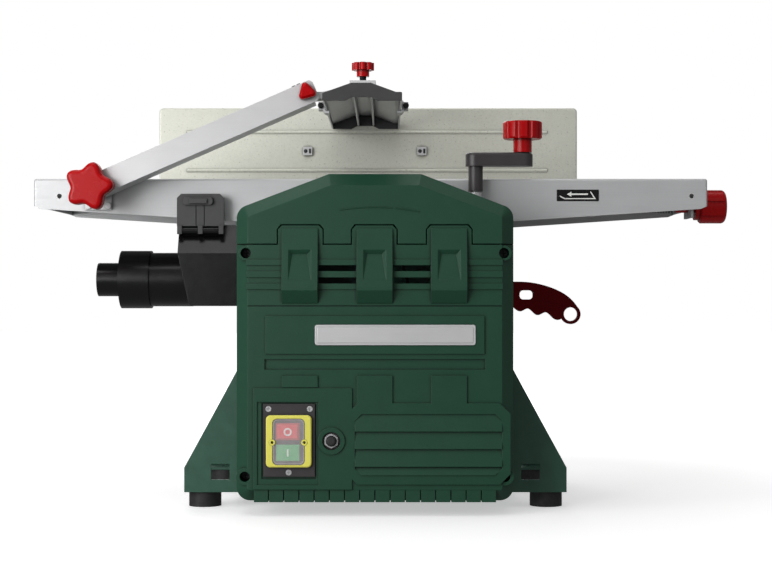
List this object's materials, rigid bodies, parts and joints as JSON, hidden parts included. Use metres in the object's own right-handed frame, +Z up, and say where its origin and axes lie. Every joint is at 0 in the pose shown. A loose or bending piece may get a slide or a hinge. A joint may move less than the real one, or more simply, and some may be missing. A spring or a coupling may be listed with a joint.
{
  "type": "thickness planer",
  "caption": "Bench-top surface planer and thicknesser with long aluminium tables, bridge guard, tilting fence, crank-raised thickness table and chip chute.",
  "frame": {"origin": "centre of the four bench-bolt holes at the bottom of the rubber feet, on the bench surface", "axes": "+X along the tables towards the infeed end, +Y away from the operator, +Z up"},
  "size_m": [0.7765, 0.404, 0.4793],
  "materials": {
    "green_plastic": "finely textured moulded plastic",
    "green_steel": "powder coated sheet steel",
    "black_rubber": "moulded rubber",
    "black_plastic": "moulded black plastic",
    "grey_plastic": "moulded dark grey plastic",
    "red_plastic": "moulded red plastic",
    "dark_red_plastic": "moulded dark red plastic",
    "cast_aluminium": "fine-milled cast aluminium",
    "silver_steel": "silver coated steel",
    "extruded_aluminium": "anodised extrusion",
    "galvanised_steel": "speckled galvanised sheet",
    "steel": "machined steel",
    "dark_steel": "oiled dark steel",
    "yellow_plastic": "moulded yellow plastic",
    "membrane": "smoky flexible membrane",
    "red_button": "moulded red plastic",
    "green_button": "moulded green plastic",
    "motor_grey": "painted cast housing"
  },
  "bodies": {
    "frame": {"near_side_plate": "green_steel", "far_side_plate": "green_steel", "base_plate": "green_steel", "rubber_feet": "black_rubber", "front_cover_upper": "green_plastic", "front_cover_lower": "green_plastic", "cover_screws": "dark_steel", "switch_plate": "black_plastic", "switch_frame": "yellow_plastic", "switch_membrane": "membrane", "switch_screws": "steel", "breaker_nut": "steel", "outfeed_table": "cast_aluminium", "mounting_blocks": "cast_aluminium", "cutter_bearings": "steel", "bearing_blocks": "cast_aluminium", "motor_housing": "motor_grey", "drive_belt": "black_rubber", "feed_gearbox": "black_plastic", "feed_chain": "dark_steel", "lift_chain": "dark_steel", "guide_posts": "steel", "kickback_rod": "steel", "rear_cover": "green_plastic", "arm_bracket": "silver_steel", "fence_bracket": "steel", "push_stick_holder": "black_plastic", "cable_gland": "black_plastic"},
    "cutter": {"cutter_drum": "extruded_aluminium", "planer_knives": "steel", "knife_wedges": "dark_steel"},
    "motor_rotor": {"motor_shaft": "steel"},
    "feed_in": {"infeed_roller": "steel"},
    "feed_out": {"outfeed_roller": "steel"},
    "lift_table": {"thickness_table": "cast_aluminium"},
    "crank": {"crank_screw": "steel", "crank_arm": "black_plastic"},
    "crank_grip": {"crank_knob": "red_plastic"},
    "second_screw": {"lead_screw_2": "steel"},
    "infeed": {"infeed_table": "cast_aluminium"},
    "depth_dial": {"depth_knob": "red_plastic"},
    "fence": {"fence_plate": "galvanised_steel", "fence_quadrant": "galvanised_steel"},
    "fence_lock": {"fence_knob": "red_plastic"},
    "arm": {"guard_arm": "silver_steel"},
    "head": {"guard_head": "silver_steel"},
    "bridge": {"guard_profile": "extruded_aluminium", "guard_end_caps": "grey_plastic"},
    "arm_lock": {"star_knob": "red_plastic"},
    "head_lock": {"clamp_knob": "red_plastic"},
    "bridge_lock": {"top_knob": "red_plastic"},
    "stop": {"stop_button": "red_button"},
    "start": {"start_button": "green_button"},
    "reset": {"reset_button": "black_rubber"},
    "chute": {"chute_body": "black_plastic", "port_adapter": "black_plastic"},
    "latch_front": {"chute_latch_front": "grey_plastic"},
    "latch_rear": {"chute_latch_rear": "grey_plastic"},
    "kickback": {"kickback_fingers": "dark_steel"},
    "stick": {"push_stick": "dark_red_plastic"}
  },
  "joints": [
    {"name": "cutter_spin", "type": "hinge", "parent": "frame", "child": "cutter", "pos_m": [-0.008, 0, 0.331], "axis": [0, 1, 0], "continuous": true},
    {"name": "motor_spin", "type": "hinge", "parent": "frame", "child": "motor_rotor", "pos_m": [0.045, 0, 0.092], "axis": [0, 1, 0], "continuous": true},
    {"name": "infeed_roller_spin", "type": "hinge", "parent": "frame", "child": "feed_in", "pos_m": [-0.056, 0, 0.319], "axis": [0, 1, 0], "continuous": true},
    {"name": "outfeed_roller_spin", "type": "hinge", "parent": "frame", "child": "feed_out", "pos_m": [0.04, 0, 0.319], "axis": [0, 1, 0], "continuous": true},
    {"name": "table_lift", "type": "slide", "parent": "frame", "child": "lift_table", "axis": [0, 0, 1], "range_m": [0, 0.115]},
    {"name": "crank_turn", "type": "hinge", "parent": "frame", "child": "crank", "pos_m": [0.1087, -0.116, 0.2], "axis": [0, 0, 1], "range_deg": [0, 8281]},
    {"name": "crank_grip_spin", "type": "hinge", "parent": "crank", "child": "crank_grip", "pos_m": [0.1597, -0.116, 0.4], "axis": [0, 0, 1], "continuous": true},
    {"name": "second_screw_turn", "type": "hinge", "parent": "frame", "child": "second_screw", "pos_m": [-0.1247, 0.116, 0.2], "axis": [0, 0, 1], "range_deg": [0, 8281]},
    {"name": "infeed_height", "type": "slide", "parent": "frame", "child": "infeed", "axis": [0, 0, -1], "range_m": [0, 0.003]},
    {"name": "depth_dial_turn", "type": "hinge", "parent": "infeed", "child": "depth_dial", "pos_m": [0.371, 0, 0.3305], "axis": [1, 0, 0], "range_deg": [0, 541]},
    {"name": "fence_tilt", "type": "hinge", "parent": "frame", "child": "fence", "pos_m": [-0.134, 0.0845, 0.361], "axis": [-1, 0, 0], "range_deg": [0, 45]},
    {"name": "fence_lock_turn", "type": "hinge", "parent": "frame", "child": "fence_lock", "pos_m": [-0.162, 0.14427, 0.35577], "axis": [-1, 0, 0], "range_deg": [0, 360]},
    {"name": "arm_lift", "type": "hinge", "parent": "frame", "child": "arm", "pos_m": [-0.3034, -0.128, 0.3444], "axis": [0, 1, 0], "range_deg": [-12, 15]},
    {"name": "head_level", "type": "hinge", "parent": "arm", "child": "head", "pos_m": [-0.0728, -0.128, 0.4448], "axis": [0, 1, 0], "range_deg": [-15, 12]},
    {"name": "bridge_slide", "type": "slide", "parent": "head", "child": "bridge", "axis": [0, -1, 0], "range_m": [0, 0.15]},
    {"name": "star_knob_turn", "type": "hinge", "parent": "frame", "child": "arm_lock", "pos_m": [-0.3034, -0.155, 0.3444], "axis": [0, -1, 0], "range_deg": [0, 360]},
    {"name": "head_knob_turn", "type": "hinge", "parent": "arm", "child": "head_lock", "pos_m": [-0.0728, -0.155, 0.4448], "axis": [0, -1, 0], "range_deg": [0, 360]},
    {"name": "top_knob_turn", "type": "hinge", "parent": "head", "child": "bridge_lock", "pos_m": [-0.0135, -0.127, 0.47], "axis": [0, 0, 1], "range_deg": [0, 360]},
    {"name": "stop_press", "type": "slide", "parent": "frame", "child": "stop", "axis": [0, 1, 0], "range_m": [0, 0.003], "stiffness_N_per_m": 400},
    {"name": "start_press", "type": "slide", "parent": "frame", "child": "start", "axis": [0, 1, 0], "range_m": [0, 0.003], "stiffness_N_per_m": 400},
    {"name": "reset_press", "type": "slide", "parent": "frame", "child": "reset", "axis": [0, 1, 0], "range_m": [0, 0.003], "stiffness_N_per_m": 400},
    {"name": "chute_slide", "type": "slide", "parent": "frame", "child": "chute", "axis": [-1, 0, 0], "range_m": [0, 0.06]},
    {"name": "front_latch_swing", "type": "hinge", "parent": "chute", "child": "latch_front", "pos_m": [-0.19, -0.1195, 0.299], "axis": [1, 0, 0], "range_deg": [0, 60]},
    {"name": "rear_latch_swing", "type": "hinge", "parent": "chute", "child": "latch_rear", "pos_m": [-0.19, 0.1195, 0.299], "axis": [-1, 0, 0], "range_deg": [0, 60]},
    {"name": "kickback_swing", "type": "hinge", "parent": "frame", "child": "kickback", "pos_m": [-0.1, 0, 0.325], "axis": [0, -1, 0], "range_deg": [0, 45]},
    {"name": "push_stick_slide", "type": "slide", "parent": "frame", "child": "stick", "axis": [1, 0, 0], "range_m": [0, 0.2]}
  ],
  "couplings": [
    {"joint": "motor_spin", "follows": "cutter_spin", "ratio": 0.53571},
    {"joint": "infeed_roller_spin", "follows": "cutter_spin", "ratio": -0.008},
    {"joint": "outfeed_roller_spin", "follows": "cutter_spin", "ratio": -0.008},
    {"joint": "crank_turn", "follows": "table_lift", "rad_per_m": 1256.6},
    {"joint": "second_screw_turn", "follows": "table_lift", "rad_per_m": 1256.6},
    {"joint": "depth_dial_turn", "follows": "infeed_height", "rad_per_m": 3141.6},
    {"joint": "head_level", "follows": "arm_lift", "ratio": -1}
  ]
}
